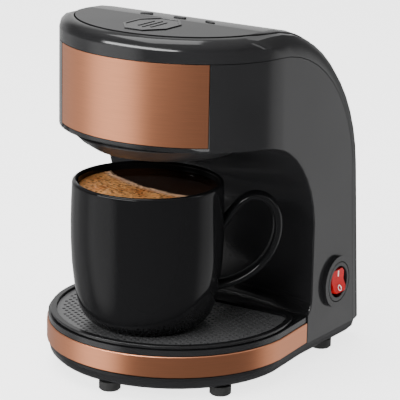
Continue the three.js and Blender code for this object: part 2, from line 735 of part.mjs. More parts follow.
function inletHose() {
  const top = TANK_BOTTOM - 15 - 2 * CLEAR;
  return routed(
    [
      [outletX, outletY, top],
      [outletX, outletY, top - 2],
      [outletX - 10, outletY - 1, HEATER_Z + 12],
      [-HEATER_HALF_LENGTH - 11, HEATER_FRONT_Y + 8, HEATER_Z + 10],
      [-HEATER_HALF_LENGTH - 15, HEATER_FRONT_Y + 2, HEATER_Z + 4],
      [-HEATER_HALF_LENGTH - 10, HEATER_FRONT_Y, HEATER_Z],
      [-HEATER_HALF_LENGTH - 6.5, HEATER_FRONT_Y, HEATER_Z],
      [-HEATER_HALF_LENGTH - 4.6, HEATER_FRONT_Y, HEATER_Z],
    ],
    HOSE_RADIUS - 0.8,
    22,
  );
}

function riserHose() {
  const x = -HALF_WIDTH + WALL + 9.5;
  return routed(
    [
      [-HEATER_HALF_LENGTH - 4.6, HEATER_BACK_Y, HEATER_Z],
      [-HEATER_HALF_LENGTH - 6.5, HEATER_BACK_Y, HEATER_Z],
      [-HEATER_HALF_LENGTH - 12, HEATER_BACK_Y - 1, HEATER_Z + 3],
      [x, HEATER_BACK_Y - 3, HEATER_Z + 14],
      [x, HEATER_BACK_Y - 4, HEATER_Z + 40],
      [x, HEATER_BACK_Y - 10, HEATER_Z + 85],
      [x + 4, TANK_MOUTH_Y + 24, HEATER_Z + 122],
      [TANK_LEFT - 8, TANK_MOUTH_Y + 8, CHAMBER_TOP - 8],
      [TANK_LEFT - 8, TANK_MOUTH_Y + 6, CHAMBER_TOP - 2],
    ],
    HOSE_RADIUS,
    30,
  );
}

// A rigid spout that brings the hot water over the edge of the filter.
function spraySpout() {
  return routed(
    [
      [TANK_LEFT - 8, TANK_MOUTH_Y + 6, CHAMBER_TOP - 1.6],
      [TANK_LEFT - 8, TANK_MOUTH_Y + 4, CHAMBER_TOP + 4],
      [TANK_LEFT - 4, TANK_MOUTH_Y - 4, CHAMBER_TOP + 13],
      [TANK_LEFT + 6, BREW_Y + 24, CHAMBER_TOP + 15.5],
      [TANK_LEFT + 13, BREW_Y + 14, CHAMBER_TOP + 14],
      [TANK_LEFT + 14, BREW_Y + 12, CHAMBER_TOP + 11.5],
    ],
    HOSE_RADIUS - 0.4,
    16,
    10,
  );
}

// The heater: an aluminium tube bent into a U, lying flat under the tank.
function heater() {
  const bend = (HEATER_BACK_Y - HEATER_FRONT_Y) / 2;
  const middle = (HEATER_BACK_Y + HEATER_FRONT_Y) / 2;
  const path = new THREE.CurvePath();
  const at = (x, y) => new THREE.Vector3(x, y, HEATER_Z);
  path.add(new THREE.LineCurve3(at(-HEATER_HALF_LENGTH, HEATER_FRONT_Y), at(HEATER_HALF_LENGTH, HEATER_FRONT_Y)));
  const turns = 6;
  for (let i = 0; i < turns; i += 1) {
    const [a, b] = [i, i + 1].map((k) => -Math.PI / 2 + (k * Math.PI) / turns);
    const point = (t) => at(HEATER_HALF_LENGTH + bend * Math.cos(t), middle + bend * Math.sin(t));
    path.add(new THREE.LineCurve3(point(a), point(b)));
  }
  path.add(new THREE.LineCurve3(at(HEATER_HALF_LENGTH, HEATER_BACK_Y), at(-HEATER_HALF_LENGTH, HEATER_BACK_Y)));
  const made = new THREE.ExtrudeGeometry(oval(HEATER_RADIUS, 12), { steps: 24, extrudePath: path });
  const tube = solid(made);
  const body = tube.volume() < 0 ? solid(flipped(made)) : tube;
  const ends = [HEATER_FRONT_Y, HEATER_BACK_Y].map((y) =>
    bar("x", HOSE_RADIUS - 1, -HEATER_HALF_LENGTH - 4, -HEATER_HALF_LENGTH + 2, y, HEATER_Z, 16),
  );
  return joined(body, ...ends);
}

// A steel strap across both legs of the heater.
function heaterStrap(x) {
  const middle = (HEATER_BACK_Y + HEATER_FRONT_Y) / 2;
  const span = HEATER_BACK_Y - HEATER_FRONT_Y + 2 * HEATER_RADIUS + 4;
  return block(x, middle, HEATER_Z - HEATER_RADIUS - CLEAR - 0.6, 9, span, 1.2);
}

function thermostat() {
  const top = HEATER_Z + HEATER_RADIUS + CLEAR;
  const can = bar("z", 7.5, top, top + 5, THERMOSTAT_X, HEATER_BACK_Y);
  return joined(can, block(THERMOSTAT_X, HEATER_BACK_Y, top + 7, 9, 1.2, 5));
}

function thermalFuse() {
  return bar("x", 2.4, FUSE_START, FUSE_END, HEATER_BACK_Y, HEATER_Z + HEATER_RADIUS + CLEAR + 2.6, 14);
}

// ---- Switch --------------------------------------------------------------------------------------

function switchBody() {
  const back = HALF_WIDTH - SWITCH_DEPTH;
  const front = FACE_X - BEZEL_THICK + CLEAR;
  const barrel = bar("x", SWITCH_BARREL, back, front + 0.5, SWITCH_Y, SWITCH_Z, 28);
  const flange = bar("x", BEZEL_RADIUS, front, FACE_X, SWITCH_Y, SWITCH_Z, 28);
  const pocket = bar("x", ROCKER_RADIUS + ROCKER_CLEAR, FACE_X - POCKET_DEPTH, FAR, SWITCH_Y, SWITCH_Z, 28);
  const blades = [-5, 5].map((z) => block(back - 4, SWITCH_Y, SWITCH_Z + z, 9, 5, 0.9));
  return joined(cut(joined(barrel, flange), pocket), ...blades);
}

// The rocker, made level and then turned to rest with its upper half pressed in.
function switchRocker() {
  const side = [
    [-3.2, -5.2], [1.8, -ROCKER_RADIUS], [4.6, -ROCKER_RADIUS], [3, 0],
    [4.6, ROCKER_RADIUS], [1.8, ROCKER_RADIUS], [-3.2, 5.2],
  ];
  const shape = outline(...side);
  const geometry = new THREE.ExtrudeGeometry(shape, { depth: FAR / 8, bevelEnabled: false });
  geometry.translate(0, 0, -FAR / 16);
  placed(geometry, X, Z, Y.clone().negate());
  const round = new THREE.CylinderGeometry(ROCKER_RADIUS, ROCKER_RADIUS, 30, 32).rotateZ(Math.PI / 2);
  const square = block(0, 0, 0, 30, 2 * ROCKER_HALF, 2 * ROCKER_HALF);
  const level = solid(geometry).intersect(solid(round)).intersect(square);
  return level.rotate([0, -ROCKER_TILT, 0]).translate([FACE_X - ROCKER_SUNK, SWITCH_Y, SWITCH_Z]);
}

// ---- Wiring and gland ----------------------------------------------------------------------------

const blockX = GLAND_X + 14;
const blockY = HEATER_BACK_Y + 6;

function terminalBlock() {
  return block(blockX, blockY, HEATER_Z + 12, 12, 8, 7);
}

function wire(points) {
  return routed(points, WIRE_RADIUS, 14, 6);
}

function wires() {
  const bladeX = HALF_WIDTH - SWITCH_DEPTH - 8.5 - 2 * WIRE_RADIUS;
  const fuseZ = HEATER_Z + HEATER_RADIUS + CLEAR + 2.6;
  const startX = blockX + 6 + WIRE_RADIUS;
  return {
    wire_supply: wire([
      [startX, blockY, HEATER_Z + 12],
      [startX + 12, blockY - 1, HEATER_Z + 17],
      [bladeX - 14, blockY - 11, SWITCH_Z + 4],
      [bladeX - 5, SWITCH_Y + 4, SWITCH_Z + 5],
      [bladeX, SWITCH_Y, SWITCH_Z + 5],
    ]),
    wire_switched: wire([
      [bladeX, SWITCH_Y, SWITCH_Z - 5],
      [bladeX - 6, SWITCH_Y, SWITCH_Z - 5],
      [THERMOSTAT_X - 4, HEATER_FRONT_Y + 5, fuseZ + 7],
      [THERMOSTAT_X - 14, HEATER_BACK_Y - 7, fuseZ + 5],
      [FUSE_END + 4, HEATER_BACK_Y, fuseZ + 1],
      [FUSE_END + WIRE_RADIUS, HEATER_BACK_Y, fuseZ],
    ]),
    wire_return: wire([
      [blockX - 2, blockY - 4 - WIRE_RADIUS, HEATER_Z + 12],
      [blockX - 3, HEATER_BACK_Y - 2, HEATER_Z + 11.5],
      [FUSE_START - 3, HEATER_BACK_Y - 1, fuseZ + 1],
      [FUSE_START - WIRE_RADIUS, HEATER_BACK_Y, fuseZ],
    ]),
  };
}

function cordGland() {
  const middle = BACK_FOOT_Y - 1;
  const barrel = bar("y", GLAND_RADIUS, middle - 9, middle + 3, GLAND_X, GLAND_Z);
  const collar = bar("y", GLAND_RADIUS + 2, middle + 1.5, middle + 4.5, GLAND_X, GLAND_Z);
  const bore = bar("y", GLAND_RADIUS - 2, middle - 20, middle + 20, GLAND_X, GLAND_Z);
  return cut(joined(barrel, collar), bore);
}

// ---- Feet and screws -----------------------------------------------------------------------------

function foot([x, y]) {
  const top = COVER_BOTTOM - CLEAR;
  return turned(
    [
      [0, 0], [FOOT_RADIUS - 0.8, 0], [FOOT_RADIUS, 0.8], [FOOT_RADIUS, top],
      [STEM_RADIUS, top], [STEM_RADIUS, COVER_BOTTOM + WALL + 1], [0, COVER_BOTTOM + WALL + 1],
    ],
    x,
    y,
    16,
  );
}

function screw([x, y]) {
  const seat = COVER_BOTTOM + 3 - CLEAR;
  return turned(
    [
      [0, seat - 2], [SCREW_HEAD - 0.6, seat - 2], [SCREW_HEAD, seat - 1.2], [SCREW_HEAD, seat],
      [SCREW_RADIUS, seat], [SCREW_RADIUS, COVER_TOP + 3], [0, COVER_TOP + 3],
    ],
    x,
    y,
    12,
  );
}

// ---- Mug -----------------------------------------------------------------------------------------

// Outer radius of the mug at each share of its height.
const mugSide = [
  [0, 0.67], [0.03, 0.76], [0.08, 0.84], [0.15, 0.9], [0.25, 0.95], [0.42, 0.995], [0.65, 1.015], [0.85, 1.012], [1, 1],
];

function mug() {
  const outer = mugSide.map(([share, part]) => [MUG_RADIUS * part, MUG_BOTTOM + MUG_HEIGHT * share]);
  const inner = mugSide
    .slice(2)
    .map(([share, part]) => [
      MUG_RADIUS * part - MUG_WALL,
      MUG_BOTTOM + Math.max(MUG_HEIGHT * share, MUG_WALL + 2.4),
    ]);
  const foot = [[0, MUG_BOTTOM + 1.6], [MUG_FOOT_RADIUS - 3, MUG_BOTTOM + 1.6], [MUG_FOOT_RADIUS - 3, MUG_BOTTOM]];
  const hollowFloor = [0, MUG_BOTTOM + MUG_WALL + 2];
  const body = turned([...foot, ...outer, ...inner.reverse(), hollowFloor], 0, MUG_Y, 40);
  return joined(body, mugHandle(MUG_WALL / 2).subtract(mugInside()));
}

function mugInside() {
  return bar("z", MUG_RADIUS - MUG_WALL, MUG_BOTTOM + MUG_WALL + 2, FAR / 2, 0, MUG_Y, 40);
}

// The handle: a flat band round an ear-shaped loop.
function mugHandle(bury) {
  const r = MUG_RADIUS - bury;
  const z = (share) => MUG_BOTTOM + MUG_HEIGHT * share;
  const loop = [
    [r - 0.5, z(0.67)], [r + HANDLE_REACH * 0.28, z(0.82)], [r + HANDLE_REACH * 0.62, z(0.88)],
    [r + HANDLE_REACH * 0.93, z(0.76)], [r + HANDLE_REACH * 0.97, z(0.6)], [r + HANDLE_REACH * 0.78, z(0.43)],
    [r + HANDLE_REACH * 0.4, z(0.31)], [r - 2.5, z(0.24)],
  ];
  const route = new THREE.CatmullRomCurve3(loop.map(([a, b]) => new THREE.Vector3(a, 0, b)));
  const section = oval(HANDLE_THICK / 2, 10, HANDLE_WIDE / 2);
  const geometry = new THREE.ExtrudeGeometry(section, { steps: 20, extrudePath: route });
  const made = solid(geometry);
  const band = made.volume() < 0 ? solid(flipped(geometry)) : made;
  return band.rotate([0, 0, HANDLE_TURN]).translate([0, MUG_Y, 0]);
}

// ---- The machine ---------------------------------------------------------------------------------

const machine = new THREE.Group();
const frontY = -BASE_RADIUS;
const rearY = BACK_FOOT_Y + 3.5;
machine.position.y = -(frontY + rearY) / 2;

function add(name, made, material) {
  const raw = made.getMesh();
  const points = new Float32Array(raw.numVert * 3);
  for (let i = 0; i < raw.numVert; i += 1) {
    points.set(raw.vertProperties.subarray(i * raw.numProp, i * raw.numProp + 3), i * 3);
  }
  const geometry = new THREE.BufferGeometry();
  geometry.setAttribute("position", new THREE.BufferAttribute(points, 3));
  geometry.setIndex(new THREE.BufferAttribute(raw.triVerts, 1));
  geometry.computeVertexNormals();
  const mesh = new THREE.Mesh(geometry, material);
  mesh.name = name;
  machine.add(mesh);
}

add("bottom_cover", bottomCover(), mattBlack);
add("main_housing", mainHousing(), glossBlack);
add("outer_shell", outerShell(), glossBlack);
add("front_panel", frontPanel(), copper);
add("base_trim", baseTrim(), copper);
add("lid", lid(), glossBlack);
add("lid_pin_left", hingePin(-1), steel);
add("lid_pin_right", hingePin(1), steel);
add("drip_tray", dripTray(), glossBlack);
add("drip_grid", dripGrid(), gridGrey);
add("brew_chamber", brewChamber(), glossBlack);
add("filter_basket", filterBasket(), mattBlack);
add("filter_mesh", filterMesh(), steel);
add("filter_rim", filterRim(), mattBlack);
add("water_tank", waterTank(), clearPlastic);
add("check_valve", checkValve(), mattBlack);
add("inlet_hose", inletHose(), silicone);
add("riser_hose", riserHose(), silicone);
add("spray_spout", spraySpout(), mattBlack);
add("heater", heater(), aluminium);
add("heater_strap_left", heaterStrap(-28), steel);
add("heater_strap_right", heaterStrap(28), steel);
add("thermostat", thermostat(), steel);
add("thermal_fuse", thermalFuse(), silicone);
add("switch_body", switchBody(), mattBlack);
add("switch_rocker", switchRocker(), redPlastic);
add("terminal_block", terminalBlock(), clearPlastic);
for (const [name, made] of Object.entries(wires())) add(name, made, silicone);
add("cord_gland", cordGland(), rubber);
for (const [name, place] of Object.entries(feet)) add(name, foot(place), rubber);
posts.forEach((place, i) => add("cover_screw_" + (i + 1), screw(place), steel));
add("mug", mug(), glazedBlack);

export default machine;
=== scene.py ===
"""A one-cup drip coffee maker with its mug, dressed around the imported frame."""

import json
import math

import bpy
from mathutils import Matrix, Vector


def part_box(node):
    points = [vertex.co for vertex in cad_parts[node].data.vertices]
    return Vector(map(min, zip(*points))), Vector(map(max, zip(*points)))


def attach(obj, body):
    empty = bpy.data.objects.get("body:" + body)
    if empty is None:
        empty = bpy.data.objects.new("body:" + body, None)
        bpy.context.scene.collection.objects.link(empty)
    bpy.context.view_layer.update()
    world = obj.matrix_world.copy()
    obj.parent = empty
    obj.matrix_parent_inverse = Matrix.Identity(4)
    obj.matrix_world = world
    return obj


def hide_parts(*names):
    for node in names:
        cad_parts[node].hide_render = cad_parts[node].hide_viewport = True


bl_info = {
    "name": "Drip coffee maker",
    "version": (1, 0, 0),
    "blender": (4, 5, 0),
    "location": "View3D > Sidebar > Coffee",
    "description": "Builds the visible pieces, finishes and stage of a drip coffee maker",
    "category": "Object",
}

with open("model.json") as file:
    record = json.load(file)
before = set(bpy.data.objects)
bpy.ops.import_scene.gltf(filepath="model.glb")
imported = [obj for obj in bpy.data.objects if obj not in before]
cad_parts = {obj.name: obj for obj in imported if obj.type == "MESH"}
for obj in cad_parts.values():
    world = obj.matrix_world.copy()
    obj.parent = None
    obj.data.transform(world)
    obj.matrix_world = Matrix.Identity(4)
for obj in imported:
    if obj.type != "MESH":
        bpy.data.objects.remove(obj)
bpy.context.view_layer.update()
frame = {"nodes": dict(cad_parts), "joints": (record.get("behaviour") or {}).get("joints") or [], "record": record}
MM = 0.001
PREFIX = "coffee."


def low(node):
    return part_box(node)[0]


def high(node):
    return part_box(node)[1]


def mug_axis():
    """Centre of the mug in plan, its radius, and the heights of its foot and rim.

    Its handle stands out to the right, so the radius is read from its left side.
    """
    lowest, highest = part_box("mug")
    radius = -lowest.x
    return Vector((0, lowest.y + radius, 0)), radius, lowest.z, highest.z


MUG_AXIS, MUG_RADIUS, MUG_FLOOR, MUG_RIM = mug_axis()


# ---- Working by hand -----------------------------------------------------------------------------


def deselect():
    if bpy.context.object and bpy.context.object.mode != "OBJECT":
        bpy.ops.object.mode_set(mode="OBJECT")
    bpy.ops.object.select_all(action="DESELECT")


def pick(piece):
    """Selects one object, and nothing else."""
    deselect()
    piece.select_set(True)
    bpy.context.view_layer.objects.active = piece


def edit(piece):
    pick(piece)
    bpy.ops.object.mode_set(mode="EDIT")
    bpy.ops.mesh.select_mode(type="EDGE")


def done():
    bpy.ops.object.mode_set(mode="OBJECT")


def named(piece, name):
    piece.name = name
    piece.data.name = name
    return piece


def settle(piece):
    """Puts an object's place, turn and size into its mesh."""
    pick(piece)
    bpy.ops.object.transform_apply(location=True, rotation=True, scale=True)
    return piece


def modifier(piece, kind, **values):
    """Adds a modifier and applies it."""
    pick(piece)
    bpy.ops.object.modifier_add(type=kind)
    made = piece.modifiers[-1]
    for key, value in values.items():
        setattr(made, key, value)
    bpy.ops.object.modifier_apply(modifier=made.name)
    return piece


def soften(piece, width, segments=3, angle=40):
    return modifier(
        piece, "BEVEL", width=width, segments=segments, limit_method="ANGLE",
        angle_limit=math.radians(angle), miter_outer="MITER_ARC",
    )


def smooth(piece, angle):
    pick(piece)
    bpy.ops.object.shade_smooth_by_angle(angle=math.radians(angle))
    modifier(piece, "WEIGHTED_NORMAL", keep_sharp=True, weight=80)


def turned(name, rings, sides):
    """A round piece on the Z axis: a disc pulled up through rings of (radius, height)."""
    deselect()
    radius, height = rings[0]
    bpy.ops.mesh.primitive_circle_add(
        vertices=sides, radius=radius, fill_type="NGON", location=(0, 0, height),
    )
    piece = named(bpy.context.active_object, name)
    edit(piece)
    bpy.ops.mesh.select_all(action="SELECT")
    for next_radius, next_height in rings[1:]:
        bpy.ops.mesh.extrude_region_move(
            TRANSFORM_OT_translate={"value": (0, 0, next_height - height)},
        )
        scale = next_radius / radius
        bpy.ops.transform.resize(value=(scale, scale, 1))
        radius, height = next_radius, next_height
    bpy.ops.mesh.select_all(action="SELECT")
    bpy.ops.mesh.remove_doubles(threshold=1e-7)
    bpy.ops.mesh.normals_make_consistent(inside=False)
    done()
    return settle(piece)


def slab(name, size, rounding):
    """A block of a given size about the origin, with its edges softened."""
    deselect()
    bpy.ops.mesh.primitive_cube_add(size=1, location=(0, 0, 0))
    piece = named(bpy.context.active_object, name)
    piece.scale = size
    settle(piece)
    return soften(piece, rounding)


def placed(piece, place, turn=(0, 0, 0)):
    piece.rotation_euler = turn
    piece.location = place
    return settle(piece)


def refined(node, name, width=0.0, angle=40):
    """A working copy of a frame part, with whole faces and, given a width, softened edges."""
    source = frame["nodes"][node]
    pick(source)
    bpy.ops.object.duplicate(linked=False)
    piece = named(bpy.context.active_object, name)
    for key in list(piece.keys()):
        if key.startswith("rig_"):
            del piece[key]
    piece.parent = None
    edit(piece)
    bpy.ops.mesh.select_all(action="SELECT")
    bpy.ops.mesh.remove_doubles(threshold=2e-6)
    bpy.ops.mesh.dissolve_limited(angle_limit=math.radians(0.4))
    done()
    if width:
        soften(piece, width, angle=angle)
    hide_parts(node)
    return piece


def pick_edges(piece, wanted):
    """Selects the edges whose two ends both pass a test, ready for an edit-mode tool."""
    edit(piece)
    bpy.ops.mesh.select_all(action="DESELECT")
    done()
    points = piece.data.vertices
    for line in piece.data.edges:
        line.select = all(wanted(points[index].co) for index in line.vertices)
    bpy.ops.object.mode_set(mode="EDIT")


def dress(piece, material):
    """Gives every face of a piece one material."""
    piece.data.materials.clear()
    piece.data.materials.append(material)
    for face in piece.data.polygons:
        face.material_index = 0


def complete(piece, body, material, angle=35):
    """Smooths a finished piece, dresses it and hangs it on its body."""
    smooth(piece, angle)
    dress(piece, material)
    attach(piece, body)


# ---- Finishes ------------------------------------------------------------------------------------


class Nodes:
    """Short calls for building one material."""

    def __init__(self, name):
        self.material = bpy.data.materials.new(name)
        self.material.use_nodes = True
        self.tree = self.material.node_tree
        self.shader = self.tree.nodes["Principled BSDF"]
        self.coordinates = self.add("ShaderNodeTexCoord").outputs["Object"]

    def add(self, kind, **values):
        node = self.tree.nodes.new(kind)
        for key, value in values.items():
            if key in node.inputs:
                node.inputs[key].default_value = value
            else:
                setattr(node, key, value)
        return node

    def link(self, source, target):
        self.tree.links.new(source, target)

    def fill(self, socket, part):
        """Links a socket to another node's output, or sets it to a plain value."""
        if isinstance(part, bpy.types.NodeSocket):
            self.link(part, socket)
        else:
            socket.default_value = part

    def mapped(self, scale=(1, 1, 1), place=(0, 0, 0)):
        node = self.add("ShaderNodeMapping", Scale=scale, Location=place)
        self.link(self.coordinates, node.inputs["Vector"])
        return node.outputs["Vector"]

    def noise(self, scale, detail=3.0, source=None):
        node = self.add("ShaderNodeTexNoise", Scale=scale, Detail=detail)
        self.link(source or self.coordinates, node.inputs["Vector"])
        return node.outputs["Fac"]

    def cells(self, scale):
        node = self.add("ShaderNodeTexVoronoi", Scale=scale)
        self.link(self.coordinates, node.inputs["Vector"])
        return node.outputs["Distance"]

    def arithmetic(self, operation, *parts):
        node = self.add("ShaderNodeMath", operation=operation)
        for socket, part in zip(node.inputs, parts):
            self.fill(socket, part)
        return node.outputs["Value"]

    def mix(self, share, first, second, blend_type="MIX"):
        node = self.add("ShaderNodeMix", data_type="RGBA", blend_type=blend_type)
        for key, part in (("Factor", share), ("A", first), ("B", second)):
            self.fill(node.inputs[key], part)
        return node.outputs["Result"]

    def ramp(self, source, *stops):
        node = self.add("ShaderNodeValToRGB")
        band = node.color_ramp
        while len(band.elements) < len(stops):
            band.elements.new(0.5)
        for element, (at, colour) in zip(band.elements, stops):
            element.position = at
            element.color = (*colour, 1)
        self.link(source, node.inputs["Fac"])
        return node.outputs["Color"]

    def span(self, source, lowest, highest, start=0.0, end=1.0):
        """Turns values from start to end into values from lowest to highest."""
        node = self.add("ShaderNodeMapRange")
        node.inputs["From Min"].default_value = start
        node.inputs["From Max"].default_value = end
        node.inputs["To Min"].default_value = lowest
        node.inputs["To Max"].default_value = highest
        self.link(source, node.inputs["Value"])
        return node.outputs["Result"]

    def colour(self, source):
        self.link(source, self.shader.inputs["Base Color"])

    def gloss(self, source, smoothest, roughest):
        self.link(self.span(source, smoothest, roughest), self.shader.inputs["Roughness"])

    def bump(self, source, strength, distance):
        node = self.add("ShaderNodeBump", Strength=strength, Distance=distance)
        self.link(source, node.inputs["Height"])
        previous = self.shader.inputs["Normal"].links
        if previous:
            self.link(previous[0].from_socket, node.inputs["Normal"])
        self.link(node.outputs["Normal"], self.shader.inputs["Normal"])

    def set(self, **values):
        for key, value in values.items():
            self.shader.inputs[key.replace("_", " ")].default_value = value


def shade(colour, factor):
    return tuple(min(1.0, part * factor) for part in colour)


def plain(
    name, colour, roughness, grain=900.0, vary=0.15, relief=0.00002, metallic=0.0,
    stretch=(1, 1, 1), reflection=0.5,
):
    """A moulded, drawn or rubbed surface: fine grain in its colour, gloss and relief."""
    finish = Nodes(name)
    where = finish.mapped(scale=stretch)
    fine = finish.noise(grain, 4.0, where)
    broad = finish.noise(grain / 14, 2.0, where)
    finish.colour(finish.ramp(fine, (0.3, shade(colour, 1 - vary)), (0.7, shade(colour, 1 + vary))))
    finish.gloss(broad, roughness * 0.8, roughness * 1.25)
    finish.bump(fine, 0.4, relief)
    finish.set(Metallic=metallic, Specular_IOR_Level=reflection)
    return finish.material


def polished_black(name, colour, roughness, reflection=0.42):
    """Injection-moulded gloss: faint flow waves, fine dust-like pits and slightly uneven gloss."""
    finish = Nodes(name)
    waves = finish.noise(26.0, 1.0)
    pits = finish.noise(2600.0, 2.0)
    finish.colour(finish.ramp(waves, (0.2, shade(colour, 0.85)), (0.8, shade(colour, 1.2))))
    finish.gloss(finish.noise(90.0), roughness * 0.75, roughness * 1.35)
    finish.bump(waves, 0.12, 0.0006)
    finish.bump(pits, 0.05, 0.00002)
    finish.set(IOR=1.5, Specular_IOR_Level=reflection)
    return finish.material


def copper_coat(name, colour, roughness):
    """Metallic coat over a moulding, brushed along its length."""
    finish = Nodes(name)
    streaks = finish.noise(60.0, 6.0, finish.mapped(scale=(1, 1, 60)))
    flakes = finish.noise(3200.0, 2.0)
    finish.colour(finish.ramp(streaks, (0.25, shade(colour, 0.93)), (0.75, shade(colour, 1.06))))
    finish.gloss(flakes, roughness * 0.8, roughness * 1.2)
    finish.bump(streaks, 0.08, 0.00005)
    finish.set(Metallic=1.0)
    return finish.material


def glaze(name, colour, roughness):
    """Thick black glaze: soft runs over the clay and rare paler specks."""
    finish = Nodes(name)
    runs = finish.noise(34.0, 2.0, finish.mapped(scale=(1, 1, 0.35)))
    specks = finish.noise(1500.0, 1.0)
    finish.colour(finish.ramp(specks, (0.68, colour), (0.78, shade(colour, 1.5))))
    finish.gloss(runs, roughness * 0.7, roughness * 1.5)
    finish.bump(runs, 0.16, 0.0006)
    finish.set(IOR=1.5, Specular_IOR_Level=0.16)
    return finish.material


# Where the crema ends, from the mug's middle: how far back, how it slants and how it bows.
CREMA_EDGE = 1.2 * MM
CREMA_LEAN = 0.212
CREMA_BOW = 6.5
CREMA_FADE = 1.8 * MM  # over which the crema thins out
CREMA_RAGGED = 0.006  # how far noise pushes its edge about
# The pale band along the crema's edge is partly froth and partly a painted highlight standing in for the glints
# there.
FROTH_AND_GLINT_WIDTH = 5 * MM  # of the pale froth along the edge
FROTH_AND_GLINT_SHARE = 0.55  # of its colour, where it is palest
PIT_COLOUR = (0.05, 0.015, 0.008)
PIT_SHARE = 0.85  # how strongly the burst bubbles darken the crema


def coffee_surface(name, colours):
    """Dark coffee with a bank of bubbly crema over its front half."""
    finish = Nodes(name)
    split = finish.add("ShaderNodeSeparateXYZ")
    finish.link(finish.mapped(place=(-MUG_AXIS.x, -MUG_AXIS.y, 0)), split.inputs["Vector"])
    across, back = split.outputs["X"], split.outputs["Y"]
    slant = finish.arithmetic("MULTIPLY_ADD", across, -CREMA_BOW, CREMA_LEAN)
    leaning = finish.arithmetic("MULTIPLY_ADD", across, slant, back)
    ragged = finish.arithmetic("MULTIPLY_ADD", finish.noise(90.0, 3.0), CREMA_RAGGED, leaning)
    cover = finish.span(ragged, 0.0, 1.0, CREMA_EDGE + CREMA_FADE, CREMA_EDGE)
    crema = finish.ramp(
        finish.noise(110.0, 5.0), (0.25, colours.crema_dark),
        (0.5, shade(colours.crema_light, 0.75)), (0.72, colours.crema_light),
    )
    pits = finish.ramp(finish.cells(400.0), (0.24, PIT_COLOUR), (0.36, (1, 1, 1)))
    foam = finish.mix(PIT_SHARE, crema, pits, "MULTIPLY")
    # Painted highlight as well as froth: the crema is paled towards the edge colour along its edge.
    froth_and_glint = finish.span(ragged, 0.0, FROTH_AND_GLINT_SHARE, CREMA_EDGE - FROTH_AND_GLINT_WIDTH, CREMA_EDGE)
    pale = finish.mix(froth_and_glint, foam, (*colours.froth_and_glint_colour, 1))
    finish.colour(finish.mix(cover, (*colours.coffee_colour, 1), pale))
    finish.gloss(cover, 0.05, 0.28)
    finish.bump(finish.arithmetic("MULTIPLY", cover, finish.cells(430.0)), 0.7, 0.0008)
    finish.set(IOR=1.34)
    return finish.material


def clear_red(name, colour):
    """Tinted see-through plastic over a lit inside."""
    finish = Nodes(name)
    cloud = finish.noise(220.0, 3.0)
    finish.colour(finish.ramp(cloud, (0.3, shade(colour, 0.8)), (0.7, shade(colour, 1.15))))
    finish.gloss(finish.noise(800.0), 0.12, 0.22)
    finish.bump(cloud, 0.1, 0.0001)
    finish.set(Emission_Color=(*colour, 1), Emission_Strength=0.14, Specular_IOR_Level=0.15)
    return finish.material


FINISHES = {}


def make_finishes(colours):
    FINISHES.update(
        black_gloss=polished_black("polished_black", colours.body_colour, colours.body_roughness),
        bowl=polished_black("satin_black", colours.body_colour, 0.3, 0.2),
        lid=polished_black("lid_black", colours.body_colour, colours.body_roughness, 0.1),
        cover=polished_black("cover_black", colours.body_colour, 0.2, 0.12),
        black_matt=plain("matt_black", (0.018, 0.018, 0.019), 0.45, 1400.0),
        copper=copper_coat("copper_coat", colours.copper_colour, colours.copper_roughness),
        rubber=plain("black_rubber", (0.012, 0.012, 0.012), 0.7, 1800.0, relief=0.00005),
        steel=plain(
            "brushed_steel", (0.62, 0.62, 0.63), 0.3, 1200.0, 0.08, metallic=1.0, stretch=(1, 14, 1),
        ),
        aluminium=plain(
            "drawn_aluminium", (0.72, 0.72, 0.73), 0.35, 900.0, 0.08, metallic=1.0, stretch=(0.1, 1, 1),
        ),
        silicone=plain("white_silicone", (0.72, 0.7, 0.66), 0.45, 500.0, 0.05),
        sleeve=plain("glass_fibre_sleeve", (0.7, 0.66, 0.52), 0.8, 2600.0, 0.25, 0.0001),
        clear_plastic=plain("natural_plastic", (0.78, 0.8, 0.8), 0.3, 300.0, 0.04),
        switch_red=clear_red("switch_red", colours.switch_colour),
        wire_brown=plain("brown_insulation", (0.16, 0.06, 0.025), 0.35, 700.0),
        wire_blue=plain("blue_insulation", (0.03, 0.08, 0.35), 0.35, 700.0),
        grid_grey=plain("grid_gloss", (0.08, 0.08, 0.082), 0.3, 1000.0, reflection=1.0),
        glaze_black=glaze("mug_glaze", colours.mug_colour, 0.07),
    )


# ---- Sizes and colours ---------------------------------------------------------------------------


def colour_property(name, value, description):
    return bpy.props.FloatVectorProperty(
        name=name, default=value, description=description, subtype="COLOR", size=3, min=0, max=1,
    )


def length_property(name, value, description):
    return bpy.props.FloatProperty(
        name=name, default=value, description=description, subtype="DISTANCE", unit="LENGTH",
    )


def angle_property(name, degrees, description):
    return bpy.props.FloatProperty(
        name=name, default=math.radians(degrees), description=description, subtype="ANGLE",
    )


def number_property(name, value, description):
    return bpy.props.FloatProperty(name=name, default=value, description=description)


class FinishSettings(bpy.types.PropertyGroup):
    body_colour: colour_property("Body colour", (0.009, 0.009, 0.0095), "Black of the casing")
    body_roughness: number_property("Body roughness", 0.13, "How soft the casing's reflections are")
    copper_colour: colour_property("Copper colour", (0.8, 0.325, 0.175), "Metallic bands")
    copper_roughness: number_property("Copper roughness", 0.33, "How soft the bands reflect")
    mug_colour: colour_property("Mug colour", (0.0045, 0.0045, 0.0048), "Glaze of the mug")
    switch_colour: colour_property("Switch colour", (0.3, 0.003, 0.004), "Rocker of the switch")
    crema_light: colour_property("Crema, light", (1.0, 0.45, 0.15), "Pale parts of the crema")
    crema_dark: colour_property("Crema, dark", (0.6, 0.16, 0.03), "Dark parts of the crema")
    # Pale colour along the crema's edge: froth, and a painted highlight for the glints there.
    froth_and_glint_colour: colour_property("Froth", (1.0, 0.74, 0.56), "Fine froth where the crema ends")
    coffee_colour: colour_property("Coffee colour", (0.02, 0.0075, 0.003), "Coffee clear of crema")


